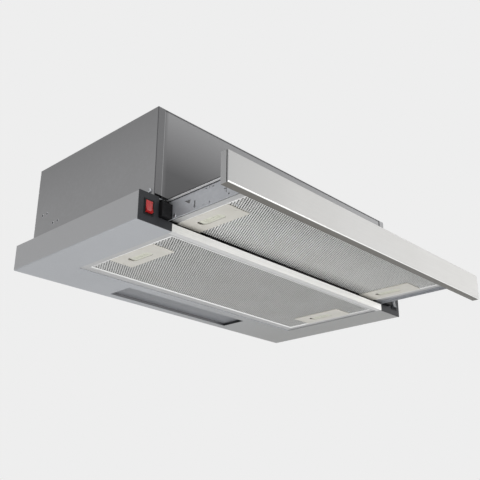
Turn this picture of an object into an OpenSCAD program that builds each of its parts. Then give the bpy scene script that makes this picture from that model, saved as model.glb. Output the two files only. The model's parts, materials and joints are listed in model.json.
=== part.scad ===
// Pull-out range hood, 60 cm wide, with its filter drawer drawn out.
// Lengths are in millimetres. X is to the right, Y to the wall, Z up.

/* [Canopy] */
// Width of the canopy
canopy_w = 600; // [560:1:640]
// Depth of the canopy, front to wall
canopy_d = 289; // [270:1:320]
// Height of the canopy
canopy_h = 40; // [38:1:46]
// Thickness of the sheet metal
sheet = 1; // [0.8:0.1:1.2]
// Radius of the folded bottom edges
fold_r = 2; // [1.5:0.1:3]
// Width of the border beside the filter opening
border_w = 58.5; // [55:0.5:64]
// Depth of the lamp bay behind the filter opening
lamp_bay_d = 81; // [74:0.5:90]
// Width of the lamp window
window_w = 265; // [220:1:290]
// Depth of the lamp window
window_d = 49.5; // [44:0.5:54]

/* [Housing] */
// Distance from the canopy's side to the housing's side
housing_in = 26.5; // [22:0.5:28]
// Space between the top of the blower and the top of the housing
head_room = 12.8; // [8:0.1:40]
// Set-back of the housing's front from the canopy's front
housing_setback = 2; // [1:0.5:4]
// Gap between the drawer's sides and the front panel above them
mouth_gap = 3.5; // [2.5:0.5:6]
// Height of the lower pair of fixing holes in each side
fixing_z_low = 72; // [65:1:76]
// Height of the upper pair of fixing holes in each side
fixing_z_high = 92.6; // [85:0.1:100]
// Distance from the wall side to the middle of the lower pair
fixing_y_low = 56.7; // [50:0.1:60]
// Distance from the wall side to the middle of the upper pair
fixing_y_high = 25.5; // [22:0.1:30]
// Distance between the two holes of a pair
fixing_pitch = 12.1; // [10:0.1:14]
// Radius of the fixing holes
fixing_r = 1.8; // [1.5:0.1:2.2]

/* [Drawer] */
// Space behind the closed drawer
rear_space = 47; // [42:1:70]
// How far the drawn-out drawer still reaches into the canopy
side_rear = 100; // [90:1:110]
// Distance from the canopy's side to the end of the fascia
fascia_in = 2; // [0:0.5:10]
// Height of the fascia
fascia_h = 41.4; // [38:0.1:44]
// Thickness of the fascia, front to back
fascia_t = 12; // [11:0.5:14]
// Height of the fascia's bottom edge
fascia_z = 0.3; // [0:0.1:0.5]
// Gap between the closed fascia and the end caps
closed_gap = 0.5; // [0.3:0.1:1]
// Distance from the filter opening to the drawer's side plates
side_gap = 6.5; // [5:0.5:8]
// Thickness of the drawer's side plates
side_t = 1.2; // [1:0.1:1.3]
// Height of the side plates' bottom edge
side_z = 13.7; // [13:0.1:14.5]
// How far the side plates stand above the canopy
side_over = 2.5; // [2:0.1:3]

/* [Filters] */
// Height of each filter cassette
cassette_h = 8.5; // [8:0.1:9]
// Clearance between a cassette and the sides of the opening
cassette_gap = 1; // [0.5:0.1:2]
// Width of the border at the cassette's sides
border_x = 10; // [8:0.5:12]
// Height of the rear filter's underside
rear_filter_z = 1.5; // [1.3:0.1:1.6]
// Height of the front filter's underside
front_filter_z = 17; // [16.5:0.1:17.6]
// Pitch of the slits in the filter sheets
slit_pitch = 16.5; // [15:0.5:20]
// Distance from the cassette's border to a handle
handle_gap = 1.75; // [1:0.25:6]
// Width of a handle
handle_w = 40.5; // [38:0.5:44]
// Length of a handle
handle_l = 93; // [88:1:100]
// Distance from the canopy's front to the middle of the rear handles
rear_handle_y = 102; // [90:1:110]
// Travel of a handle's latch
latch_travel = 5; // [4.5:0.1:5]

/* [End caps] */
// Width of an end cap's plate
cap_w = 33; // [31:0.5:36]
// Height of an end cap
cap_h = 41; // [39:0.5:44]
// Thickness of an end cap's plate
cap_t = 1.5; // [1.2:0.1:2]
// Height of an end cap's foot
foot_h = 12; // [11:0.1:12.8]
// Distance from the canopy's side to the middle of a rocker switch
switch_in = 16.3; // [15:0.1:17.5]
// Height of the middle of a rocker switch
switch_z = 20.7; // [19:0.1:22]
// Angle that a rocker tips through
rocker_throw = 18; // [14:1:18]

/* [Blower] */
// Radius of the impeller
impeller_r = 46; // [42:0.5:50]
// Width of the impeller
impeller_w = 96; // [80:1:100]
// Number of blades
blade_n = 30; // [24:1:32]
// Clearance between the impeller and each end of the blower housing
impeller_gap = 9; // [7:0.5:12]
// Gap between the closed drawer and the blower above it
blower_gap = 3.2; // [2:0.1:6]
// Distance from the canopy's front to the impeller's shaft
shaft_y = 103; // [95:1:112]
// Radius of the impeller's shaft
shaft_r = 4; // [3:0.1:5]
// Radius of the motor
motor_r = 36; // [32:0.5:40]
// Length of the motor
motor_l = 57; // [50:1:65]

/* [Duct collar] */
// Outside radius of the duct collar
collar_r = 59.5; // [55:0.1:65]
// Wall of the duct collar
collar_wall = 2.2; // [2:0.1:2.6]
// Height of the duct collar above the housing
collar_h = 40; // [36:1:50]
// Height of the flaps' pin above the housing
flap_pin_h = 18; // [17:0.5:22]
// Radius of the flaps' pin
flap_pin_r = 1.5; // [1.2:0.1:1.6]

/* [Fits] */
// Running clearance round pins and shafts
running = 0.08; // [0.05:0.01:0.1]
// Clearance between a seated piece and its seat
seat_gap = 0.3; // [0.2:0.05:0.4]

/* [Hidden] */
$fn = 48;

// Levels and lines that several pieces share
half_w = canopy_w / 2;
half_h = half_w - housing_in;
opening_x = half_w - border_w;
opening_d = canopy_d - lamp_bay_d;
window_y = canopy_d - lamp_bay_d / 2;
travel = canopy_d - rear_space - side_rear;
fascia_back = -(travel + closed_gap + cap_t);
fascia_front = fascia_back - fascia_t;
fascia_r = 1.5;
seam_w = 1.6;
seam_d = 0.6 * sheet;
middle_y = (fascia_front + canopy_d) / 2;
front_of_panel = housing_setback + sheet;
rail_h = foot_h - 1;
foot_x = opening_x + 2;
lip_d = 8;
upstand_h = 1.3;

// Drawer runners
side_x = opening_x + side_gap;
side_top = canopy_h + side_over;
plate_out = side_x + side_t;
mouth_z = side_top + mouth_gap;
lip_w = 4.4;
lip_t = 1.5;
track_low = 18.2;
track_high = 33.8;
track_t = 1.2;
web_x = plate_out + 9.3;
ledge_in = plate_out + 6.8;
ledge_y = canopy_d - 27;
channel_y = 10;
guide_x = plate_out + 0.6;
guide_front = -8;
guide_roller_r = 6;
guide_roller_z = side_top - lip_t - guide_roller_r - running;
guide_roller_y = 3.5;
guide_low = foot_h + 1.2;
roller_r = (track_high - track_low) / 2 - 0.15;
roller_z = (track_high + track_low) / 2;
roller_y = side_rear - 9;
stud_r = 2.5;
bar_top = canopy_h - 2;

// Filter cassettes
cassette_x = opening_x - cassette_gap;
cassette_t = 1;
rear_filter_y = lip_d + 1.5;
rear_filter_d = opening_d - 1 - rear_filter_y;
front_lip_y = fascia_back - 1 + 6;
front_filter_y = front_lip_y + 1.5;
front_filter_end = 15;
front_filter_d = front_filter_end - front_filter_y;
bar_y = front_filter_end + 1;
rear_tip = lip_d - 4.5;
front_tip = front_lip_y - 4.5;
mesh_t = 0.5;
tab_x = 150;
handle_x = cassette_x - border_x - handle_gap - handle_w / 2;
front_handle_y = front_filter_end - 9.5 - handle_l / 2;
handle_seat = [handle_w - 6.5, handle_l - 9];
pill_r = 7;
button_r = 6.4;
button_l = 41;

// Blower
scroll_r0 = impeller_r + 4;
scroll_r1 = impeller_r + 30;
shell_t = 2.2;
inlet_r = impeller_r - 5;
volute_w = impeller_w + 2 * impeller_gap;
tongue_y = shaft_y + 8;
outlet_end = shaft_y + scroll_r1;
shaft_z = bar_top + blower_gap + shell_t + scroll_radius(180);
motor_x = -(volute_w / 2 + 11);

// Housing
housing_top = shaft_z + scroll_r0 + shell_t + head_room;
under_top = housing_top - sheet;
side_fold = 12;
side_screw = [10.4, mouth_z + 5.4];
screw_hole_r = 1.6;
screw_r = 1.4;
head_r = 3.2;

// Duct collar
collar_y = (tongue_y + outlet_end) / 2;
collar_screw_r = collar_r + 16;
flap_z = housing_top + flap_pin_h;
flap_r = collar_r - collar_wall - 1.5;
knuckle_r = 2.8;
base_t = 2.5;

// Switches and lamp
rocker_y = 2.2;
pivot_r = 1.2;
lamp_z = 22;
lamp_half = window_w / 2 + 8;
lamp_sheet = 0.8;
tube_r = 9;
cap_r = 7;
socket_l = 22;

// Electrics
gland_x = half_h - 58.5;
gland_y = canopy_d - 64;
gland_r = 7.8;
cable_r = 3.5;
switch_tip_gap = 0.8;
plunger_x = side_x - 0.4;
plunger_z = 27;
plunger_r = 1.2;

// The frame's origin lies below the middle of the drawn-out hood
module placed() translate([0, -middle_y, 0]) children();

module both_sides() {
  children();
  mirror([1, 0, 0]) children();
}

module block(low, high) translate(low) cube(high - low);

// A bar along X between two corners, the same on both sides of the middle
module span(half, y0, y1, z0, z1) block([-half, y0, z0], [half, y1, z1]);

// A cylinder along X from x0 to x1
module rod_x(r, x0, x1, y, z) translate([x0, y, z]) rotate([0, 90, 0]) cylinder(r = r, h = x1 - x0);

// A profile drawn in Y and Z, extruded along X from x0 to x1
module along_x(x0, x1) translate([x0, 0, 0]) rotate([90, 0, 90]) linear_extrude(x1 - x0) children();

module tube_x(r_out, r_in, x0, x1, y, z) difference() {
  rod_x(r_out, x0, x1, y, z);
  rod_x(r_in, x0 - 1, x1 + 1, y, z);
}

module pill_2d(r, l) {
  square([2 * r, l - 2 * r], center = true);
  for (s = [-1, 1]) translate([0, s * (l / 2 - r)]) circle(r = r);
}

// ---------------------------------------------------------------- canopy

// Cross-section of the tray, with folded bottom corners
module tray_2d(w, h, r) {
  translate([-w / 2, r]) square([w, h - r]);
  translate([-w / 2 + r, 0]) square([w - 2 * r, r]);
  for (s = [-1, 1]) translate([s * (w / 2 - r), r]) circle(r = r);
}

module tray_side_2d(d, h, r) {
  translate([0, r]) square([d, h - r]);
  square([d - r, r]);
  translate([d - r, r]) circle(r = r);
}

module tray() intersection() {
  translate([0, canopy_d + 1, 0]) rotate([90, 0, 0])
    linear_extrude(canopy_d + 2) tray_2d(canopy_w, canopy_h, fold_r);
  translate([-half_w, 0, 0]) rotate([90, 0, 90])
    linear_extrude(canopy_w) tray_side_2d(canopy_d, canopy_h, fold_r);
}

module window_return() difference() {
  translate([0, window_y, 2.5]) cube([window_w + 2 * sheet, window_d + 2 * sheet, 5], center = true);
  translate([0, window_y, 2.5]) cube([window_w, window_d, 7], center = true);
}

module canopy() color("#a9adb3") placed() difference() {
  union() {
    difference() {
      tray();
      tray_cut();
    }
    // ledge along the top
    difference() {
      block([-half_w + sheet, 0, canopy_h - sheet], [half_w - sheet, canopy_d - sheet, canopy_h]);
      block([-ledge_in, -1, canopy_h - 2 * sheet], [ledge_in, ledge_y, canopy_h + 1]);
    }
    // folds round the filter opening
    both_sides() block([opening_x, 0.2, sheet], [opening_x + sheet, opening_d, rail_h]);
    difference() {
      span(opening_x + sheet, opening_d, opening_d + sheet, sheet, rail_h);
      tab_slots(opening_d, rear_filter_z);
    }
    window_return();
  }
  span(opening_x, -1, opening_d, -1, sheet + 0.5);
  translate([0, window_y, 0]) cube([window_w, window_d, 8], center = true);
  rivet_holes();
}

// The hollow of the tray, open at the front
module tray_cut() intersection() {
  translate([0, canopy_d, sheet]) rotate([90, 0, 0])
    linear_extrude(canopy_d + 2) tray_2d(canopy_w - 2 * sheet, canopy_h, fold_r - sheet);
  translate([-half_w, -1, sheet]) rotate([90, 0, 90])
    linear_extrude(canopy_w) tray_side_2d(canopy_d - sheet + 1, canopy_h, fold_r - sheet);
}

// Slots for the two tabs of a cassette whose underside is at z
module tab_slots(y, z) for (s = [-1, 1])
  translate([s * tab_x, y, z + 3.5]) cube([16, 4, 1 + 2 * seat_gap], center = true);

// ---------------------------------------------------------------- housing

module rivet_places() both_sides() for (y = [30, collar_y, canopy_d - 34])
  translate([half_h + 8, y, 0]) children();

module rivet_holes() rivet_places() translate([0, 0, canopy_h - 5]) cylinder(r = screw_hole_r, h = 10);

module side_panel() difference() {
  inner = half_h - sheet;
  union() {
    block([inner, housing_setback, canopy_h], [half_h, canopy_d - sheet, under_top]);
    block([half_h - side_fold, housing_setback, mouth_z], [inner, front_of_panel, under_top]);
    block([half_h - side_fold, canopy_d - 2 * sheet, canopy_h + sheet], [inner, canopy_d - sheet, under_top]);
    block([half_h - side_fold, front_of_panel, under_top - sheet], [inner, canopy_d - 2 * sheet, under_top]);
    block([half_h, housing_setback + 3, canopy_h], [half_h + 15, canopy_d - 4, canopy_h + sheet]);
  }
  for (k = [-0.5, 0.5]) {
    side_hole(fixing_r, canopy_d - fixing_y_high + k * fixing_pitch, fixing_z_high);
    side_hole(fixing_r, canopy_d - fixing_y_low + k * fixing_pitch, fixing_z_low);
  }
  side_hole(screw_hole_r, side_screw[0], side_screw[1]);
  rivet_holes();
  top_screw_places() cylinder(r = screw_hole_r, h = 8, center = true);
}

module side_hole(r, y, z) rod_x(r, half_h - 3 * sheet, half_h + 1, y, z);

module left_side_panel() color("#8f9194") placed() mirror([1, 0, 0]) side_panel();

module right_side_panel() color("#8f9194") placed() side_panel();

module front_panel() color("#6f7072") placed() {
  y0 = front_of_panel;
  fold = half_h - side_fold - 4;
  span(half_h - sheet - 0.1, y0, y0 + sheet, mouth_z, under_top - sheet);
  // between the side panels' top folds it reaches up to the top panel
  span(half_h - side_fold - seat_gap, y0, y0 + sheet, mouth_z, under_top);
  span(fold, y0 + sheet, y0 + 10, mouth_z, mouth_z + sheet);
  span(fold, y0 + sheet, y0 + 12, under_top - sheet, under_top);
}

module rear_panel() color("#8f9194") placed() {
  span(half_h, canopy_d - sheet, canopy_d, canopy_h, under_top);
  span(half_h - side_fold - 4, canopy_d - 14, canopy_d - sheet, canopy_h, canopy_h + sheet);
}

module top_screw_places() both_sides() for (y = [40, collar_y, canopy_d - 39])
  translate([half_h - 8, y, housing_top]) children();

module collar_screw_places() for (a = [45 : 90 : 315])
  translate([0, collar_y, housing_top]) rotate(a) translate([collar_screw_r, 0, 0]) children();

module top_panel() color("#8f9194") placed() difference() {
  block([-half_h, housing_setback, under_top], [half_h, canopy_d, housing_top]);
  // outlet, as wide as the blower's mouth and the collar let it be
  intersection() {
    translate([0, collar_y, housing_top - 5]) cylinder(r = collar_r - collar_wall, h = 10);
    span(volute_w / 2 - shell_t, tongue_y, outlet_end, under_top - 1, housing_top + 1);
  }
  top_screw_places() cylinder(r = screw_hole_r, h = 8, center = true);
  collar_screw_places() cylinder(r = screw_hole_r, h = 8, center = true);
  gland_place() cylinder(r = gland_r + 0.2, h = 10, center = true);
}

// A pan-head screw whose head rests at z = 0
module pan_screw(l) {
  cylinder(r = head_r, h = 1.4);
  translate([0, 0, 1.4]) cylinder(r1 = head_r, r2 = head_r - 1, h = 0.8, $fn = 32);
  translate([0, 0, -l]) cylinder(r = screw_r, h = l + 0.5);
}

module housing_screws() color("#c9ccd0") placed() {
  top_screw_places() pan_screw(3);
  collar_screw_places() translate([0, 0, base_t]) pan_screw(5);
  rivet_places() translate([0, 0, canopy_h + sheet]) pan_screw(3);
  both_sides() translate([half_h, side_screw[0], side_screw[1]]) rotate([0, 90, 0]) pan_screw(3);
}

// ---------------------------------------------------------------- front rail and end caps

module front_rail() color("#ecebe6") placed() {
  wall = 1.2;
  lip_x = opening_x - seat_gap;
  span(foot_x - 0.2, -cap_t, 0, 0, rail_h);
  span(lip_x, 0, lip_d, 0, wall);
  span(lip_x, lip_d - wall, lip_d, wall, rear_filter_z + upstand_h);
  span(lip_x, 0, 5, rail_h - wall, rail_h);
}

module end_cap() difference() {
  wall = 1.5;
  inner = half_w - cap_w + 1;
  outer = half_w - sheet - 0.2;
  low = sheet + track_t + 0.2;
  high = canopy_h - sheet - 0.2;
  union() {
    block([half_w - cap_w, -cap_t, 0], [half_w, 0, cap_h]);
    block([foot_x, -cap_t, 0], [half_w, 0, foot_h]);
    // box behind the plate
    block([inner, 0, low], [outer, 20, high]);
    block([foot_x, 0, low], [inner, 7, rail_h]);
  }
  block([inner + wall, 0, low + wall], [outer - wall, 21, high - wall]);
  switch_place() cube([13.2, 8, 19.4], center = true);
}

module switch_place() translate([half_w - switch_in, 0, switch_z]) children();

module left_end_cap() color("#3c3f44") placed() mirror([1, 0, 0]) end_cap();

module right_end_cap() color("#3c3f44") placed() end_cap();

module switch_body() switch_place() difference() {
  union() {
    translate([-8, -cap_t - 0.8, -11]) cube([16, 0.8, 22]);
    translate([-6.5, -cap_t, -9.6]) cube([13, 16 + cap_t, 19.2]);
    for (z = [-6, 0, 6]) translate([-0.4, 15, z - 1.6]) cube([0.8, 7, 3.2]);
  }
  translate([-5.7, -cap_t - 2, -9]) cube([11.4, cap_t + 8, 18]);
  rod_x(pivot_r + running, -6.3, 6.3, rocker_y, 0);
}

module switch_bodies() color("#15161a") placed() {
  mirror([1, 0, 0]) switch_body();
  switch_body();
}

// Side view of a rocker about its pivot, with a dished front
module rocker_2d() difference() {
  union() {
    translate([-6.6, -7.8]) square([5.4, 15.6]);
    circle(r = 2.6);
    translate([-2, -3]) square([3.5, 6]);
  }
  translate([-31.4, 0]) circle(r = 26.2, $fn = 96);
}

module rocker() switch_place() translate([0, rocker_y, 0]) rotate([-rocker_throw / 2, 0, 0]) {
  translate([5.4, 0, 0]) rotate([90, 0, -90]) mirror([1, 0, 0]) linear_extrude(10.8) rocker_2d();
  rod_x(pivot_r, -6.1, 6.1, 0, 0);
}

module light_rocker() color("#c93232") placed() mirror([1, 0, 0]) rocker();

module fan_rocker() color("#55585c") placed() rocker();

// ---------------------------------------------------------------- drawer slides

module slide_channel() difference() {
  translate([0, channel_y, 0]) rotate([90, 0, 0]) mirror([0, 0, 1])
    linear_extrude(ledge_y - channel_y) slide_2d();
  for (y = [60, 200]) translate([web_x + 9, y, 0]) cylinder(r = 1.8, h = 5);
}

module slide_2d() {
  translate([web_x, sheet]) square([track_t, canopy_h - 2 * sheet]);
  translate([web_x, sheet]) square([16, track_t]);
  translate([plate_out + 1.4, track_low - track_t]) square([web_x - plate_out - 1, track_t]);
  translate([plate_out + 1.4, track_high]) square([web_x - plate_out - 1, track_t]);
}

module left_slide_channel() color("#b4b8bb") placed() mirror([1, 0, 0]) slide_channel();

module right_slide_channel() color("#b4b8bb") placed() slide_channel();

module slide_guide() {
  outer = half_w - cap_w - 0.2;
  web = guide_x + 4.8;
  difference() {
    block([guide_x, guide_front, guide_low], [outer, channel_y, guide_roller_z - 1.4]);
    block([guide_x - 1, -4, guide_roller_z - guide_roller_r - 0.5], [web, channel_y + 1, side_top]);
  }
  block([web, -2, guide_roller_z - 1.4], [outer - 4, channel_y - 0.3, canopy_h - sheet - 0.4]);
  rod_x(1.8, guide_x + 0.4, web + 0.2, guide_roller_y, guide_roller_z);
}

module slide_guides() color("#17181b") placed() both_sides() slide_guide();

module guide_roller() tube_x(
  guide_roller_r, 1.8 + running, guide_x + 0.3, guide_x + 4.4, guide_roller_y, guide_roller_z
);

module left_guide_roller() color("#222326") placed() mirror([1, 0, 0]) guide_roller();

module right_guide_roller() color("#222326") placed() guide_roller();

module drawer_roller() tube_x(
  roller_r, stud_r + running, plate_out + 2, plate_out + 7, roller_y, roller_z
);

module left_drawer_roller() color("#d9d9d2") placed() mirror([1, 0, 0]) drawer_roller();

module right_drawer_roller() color("#d9d9d2") placed() drawer_roller();

// ---------------------------------------------------------------- drawer

module fascia_2d(inset) {
  r = fascia_r - inset;
  h = fascia_h - 2 * inset;
  translate([inset, fascia_z + inset]) {
    translate([r, 0]) square([fascia_t + 1, h]);
    translate([0, r]) square([r, h - 2 * r]);
    for (z = [r, h - r]) translate([r, z]) circle(r = r);
  }
}

module fascia() color("#d9d8d3") placed() difference() {
  half = half_w - fascia_in;
  intersection() {
    along_x(-half, half) translate([fascia_front, 0]) fascia_2d(0);
    span(half, fascia_front, fascia_back, 0, fascia_z + fascia_h);
  }
  along_x(-half + sheet, half - sheet) translate([fascia_front, 0]) fascia_2d(sheet);
  // seam between the front sheet and each folded end
  both_sides() translate([half - seam_d, fascia_front + fascia_r, 0]) cube([sheet, seam_w, 2 * fascia_h]);
}

module drawer_front() color("#a9adb3") placed() {
  web_y = fascia_back - 2;
  y0 = fascia_front + sheet + fascia_r;
  top = fascia_z + fascia_h - sheet - seat_gap;
  low = rail_h + 1.6;
  span(plate_out, web_y, web_y + sheet, low, top);
  span(plate_out, y0, web_y, top - sheet, top);
  span(plate_out, y0, web_y, low, low + sheet);
  span(opening_x - 0.5, web_y + sheet, front_lip_y, front_filter_z - 1.5, front_filter_z - 0.3);
  span(opening_x - 0.5, front_lip_y - 1.2, front_lip_y, front_filter_z - 0.3, front_filter_z + upstand_h);
}

module side_cut(y, z, l, h) translate([0, y - l / 2, z - h / 2]) cube([20, l, h]);

// low_marks adds the stampings along the lower edge, which only the left side has
module drawer_side(low_marks) {
  y0 = fascia_back;
  difference() {
    union() {
      block([side_x, y0, side_z], [plate_out, side_rear, side_top]);
      block([plate_out, y0, side_top - lip_t], [plate_out + lip_w, side_rear, side_top]);
      block([opening_x + 0.5, y0, front_filter_z], [side_x, bar_y, front_filter_z + 1]);
      block([side_x - 12, y0 - sheet, front_filter_z + 3], [plate_out, y0, side_top - 4]);
      rod_x(stud_r, plate_out, plate_out + 8, roller_y, roller_z);
      rod_x(stud_r + 1, plate_out + 7.2, plate_out + 8.2, roller_y, roller_z);
      // pressed rivet heads near the canopy's front
      for (y = [-12.5, 40]) rod_x(2.2, plate_out, plate_out + 0.4, y, 17.3);
    }
    translate([side_x - 1, 0, 0]) {
      // punched triangle
      translate([0, -30, 32]) rotate([90, 0, 90]) linear_extrude(4)
        polygon([[0, 0], [-12, -1], [-9.5, -6.5]]);
      side_cut(-70, 37, 3, 1.6);
      side_cut(-76, 36.6, 1.6, 3);
      side_cut(-82, 36.4, 3, 1.6);
      for (y = [24, 46, 68]) side_cut(y, 30, 12, 8);
      if (low_marks) {
        side_cut(-49, 22, 3.4, 10);
        side_cut(-68, 15.9, 7, 1.8);
        rod_x(1.9, 0, 4, -75.5, 16.4);
        side_cut(-103.4, 26.2, 5, 1.8);
        side_cut(-105, 23, 1.8, 5);
        rod_x(1.4, 0, 4, -109.5, 17.6);
      }
    }
    block([side_x - 10, -19, front_filter_z - 1], [side_x - 5, -9, front_filter_z + 2]);
  }
}

module left_drawer_side() color("#b9bcc0") placed() mirror([1, 0, 0]) drawer_side(low_marks = true);

module right_drawer_side() color("#b9bcc0") placed() drawer_side(low_marks = false);

module drawer_rear_bar() color("#b9bcc0") placed() {
  low = front_filter_z - 1;
  difference() {
    span(side_x, bar_y, bar_y + sheet, low, bar_top);
    tab_slots(bar_y, front_filter_z);
    for (x = [-180 : 60 : 180]) translate([x, bar_y, bar_top - 7]) cube([30, 4, 6], center = true);
  }
  span(side_x, bar_y + sheet, bar_y + 12, bar_top - sheet, bar_top);
  span(side_x, bar_y + sheet, bar_y + 6, low, low + sheet);
}

// ---------------------------------------------------------------- filter cassettes

module bolt_holes(y, z) both_sides() translate([handle_x - 3.5, y - 1, z + 1.2]) cube([7, 4, 3]);

module cassette_frame(y0, d, z0, border_rear) difference() {
  union() {
    span(cassette_x, y0, y0 + d, z0, z0 + cassette_h);
    for (s = [-1, 1]) translate([s * tab_x - 7, y0 + d - 0.5, z0 + 3]) cube([14, 4.5, 1]);
  }
  span(cassette_x - cassette_t, y0 + cassette_t, y0 + d - cassette_t, z0 + 1, z0 + cassette_h - 1);
  span(cassette_x - border_x, y0 + 4, y0 + d - border_rear, z0 - 1, z0 + 2);
  span(cassette_x - border_x, y0 + 5, y0 + d - 6, z0 + 2, z0 + cassette_h + 1);
  bolt_holes(y0, z0);
}

// Rows of slanted slits, staggered from row to row, that leave the handles free
module slits_2d(half, y0, y1, y_handle) {
  rows = floor((y1 - y0) / 17);
  columns = floor(2 * half / slit_pitch) - 1;
  slit = [5, 12];
  for (row = [0 : rows - 1], column = [0 : columns - 1]) {
    x = (column - (columns - 1) / 2 + (row % 2) / 2 - 0.25) * slit_pitch;
    y = y0 + (y1 - y0) * (row + 0.5) / rows;
    if (abs(abs(x) - handle_x) > (handle_w + slit[1]) / 2 || abs(y - y_handle) > (handle_l + slit[1]) / 2)
      translate([x, y]) rotate(-32) square(slit, center = true);
  }
}

module handle_cut_2d(y) for (s = [-1, 1]) translate([s * handle_x, y])
  square([handle_seat[0] + 2 * seat_gap, handle_seat[1] + 2 * seat_gap], center = true);

module filter_mesh(y0, d, z0, y_handle) translate([0, 0, z0 + 1]) linear_extrude(mesh_t) difference() {
  gap = 0.2;
  translate([-cassette_x + cassette_t + gap, y0 + cassette_t + gap])
    square([2 * (cassette_x - cassette_t - gap), d - 2 * (cassette_t + gap)]);
  handle_cut_2d(y_handle);
  slits_2d(cassette_x - border_x, y0 + 5, y0 + d - 14, y_handle);
}

module filter_core(y0, d, z0, y_handle) translate([0, 0, z0 + 1 + mesh_t]) linear_extrude(5.5) difference() {
  translate([-cassette_x + 2, y0 + 2]) square([2 * (cassette_x - 2), d - 4]);
  for (s = [-1, 1]) translate([s * handle_x, y_handle]) {
    square([handle_seat[0] + 2, handle_seat[1] + 4], center = true);
    translate([-4.5, y0 - y_handle - 2]) square([9, y_handle - y0]);
  }
}

// A handle plate with the pill-shaped slot and the latch's guide behind it
module handle(y, z0) translate([handle_x, y, z0]) difference() {
  union() {
    translate([0, 0, -0.4]) linear_extrude(1.4) difference() {
      square([handle_w, handle_l], center = true);
      for (s = [-1, 1]) translate([0, s * (handle_l / 2 - 5)]) circle(r = 1);
    }
    translate([-handle_seat[0] / 2, -handle_seat[1] / 2, 1]) cube([handle_seat[0], handle_seat[1], 5]);
  }
  translate([0, 3, -1]) linear_extrude(3) pill_2d(pill_r, button_l + latch_travel + 0.8);
  translate([-8.7, -24, 1]) cube([17.4, 54, 3]);
  translate([-3.4, -handle_l / 2, 1.2]) cube([6.8, handle_l / 2 - 23, 2.8]);
}

module latch(y, y_tip, z0) translate([handle_x, y, z0]) {
  translate([0, 0.3, 0]) {
    difference() {
      linear_extrude(1.3) pill_2d(button_r, button_l);
      for (k = [-3 : 3]) translate([0, k * 4, 0]) cube([8, 1.4, 1.2], center = true);
    }
    translate([-8.3, -22.5, 1.25]) cube([16.6, 45, 1.15]);
  }
  translate([-3, y_tip - y, 1 + mesh_t + 0.2]) cube([6, y - y_tip - 20, 2]);
}

module rear_filter_frame() color("#b3b6b8") placed()
  cassette_frame(rear_filter_y, rear_filter_d, rear_filter_z, 14);

module rear_filter_mesh() color("#a3a39f") placed()
  filter_mesh(rear_filter_y, rear_filter_d, rear_filter_z, rear_handle_y);

module rear_filter_core() color("#8f908d") placed()
  filter_core(rear_filter_y, rear_filter_d, rear_filter_z, rear_handle_y);

module rear_filter_handles() color("#d5d5cb") placed() both_sides() handle(rear_handle_y, rear_filter_z);

module front_filter_frame() color("#b3b6b8") placed()
  cassette_frame(front_filter_y, front_filter_d, front_filter_z, 8);

module front_filter_mesh() color("#a3a39f") placed()
  filter_mesh(front_filter_y, front_filter_d, front_filter_z, front_handle_y);

module front_filter_core() color("#8f908d") placed()
  filter_core(front_filter_y, front_filter_d, front_filter_z, front_handle_y);

module front_filter_handles() color("#d5d5cb") placed() both_sides() handle(front_handle_y, front_filter_z);

module rear_left_latch() color("#d8d8c4") placed() mirror([1, 0, 0])
  latch(rear_handle_y, rear_tip, rear_filter_z);

module rear_right_latch() color("#d8d8c4") placed() latch(rear_handle_y, rear_tip, rear_filter_z);

module front_left_latch() color("#d8d8c4") placed() mirror([1, 0, 0])
  latch(front_handle_y, front_tip, front_filter_z);

module front_right_latch() color("#d8d8c4") placed() latch(front_handle_y, front_tip, front_filter_z);

// ---------------------------------------------------------------- lamp

module lamp_housing() color("#d0d2d4") placed() difference() {
  foot = 3.5;
  y0 = opening_d + sheet + 1.5;
  y1 = canopy_d - sheet - 1.5;
  top = canopy_h - 3;
  union() {
    span(lamp_half, y0 + foot, y1 - foot, sheet, top);
    span(lamp_half + foot, y0, y1, sheet, sheet + lamp_sheet);
  }
  span(lamp_half - lamp_sheet, y0 + foot + lamp_sheet, y1 - foot - lamp_sheet, 0, top - lamp_sheet);
}

module lamp_lens() color("#8d9095") placed() difference() {
  rim = 3.5;
  span(window_w / 2 + rim, window_y - window_d / 2 - rim, window_y + window_d / 2 + rim, 5, 7.5);
  // ribs that spread the light
  for (k = [-6 : 6]) span(window_w / 2 - 2, window_y + k * 3.6 - 0.5, window_y + k * 3.6 + 0.5, 6.7, 8);
}

module lamp_holders() color("#e6e4dc") placed() both_sides() {
  end = lamp_half - lamp_sheet;
  rod_x(11.5, end - 8, end, window_y, lamp_z);
  tube_x(cap_r + 3, cap_r + 0.2, end - 8 - socket_l, end - 8, window_y, lamp_z);
}

// Candle-shaped bulbs that point at each other
module lamp_bulbs() color("#e9edf0") placed() both_sides() {
  tip = 30;
  neck = lamp_half - lamp_sheet - 8 - socket_l;
  rod_x(cap_r, neck, neck + socket_l - 1, window_y, lamp_z);
  translate([tip, window_y, lamp_z]) rotate([0, 90, 0]) rotate_extrude() {
    translate([0, tube_r]) square([tube_r, neck - tip - tube_r]);
    intersection() {
      translate([0, tube_r]) circle(r = tube_r);
      square(tube_r);
    }
  }
}

// ---------------------------------------------------------------- blower

// Radius of the scroll at angle a, which grows from the tongue round to the outlet
function scroll_radius(a) = scroll_r0 + (scroll_r1 - scroll_r0) * (a + 10) / 280;

function scroll_points(a0, extra) = [
  for (a = [a0 : 7.5 : 270]) [
    shaft_y - (scroll_radius(a) + extra) * sin(a),
    shaft_z + (scroll_radius(a) + extra) * cos(a)
  ]
];

module scroll_2d(a0, extra) polygon(concat(
  [[tongue_y - extra, under_top]],
  [[tongue_y - extra, shaft_z + scroll_r0 + extra]],
  scroll_points(a0, extra),
  [[outlet_end + extra, under_top]]
));

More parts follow.
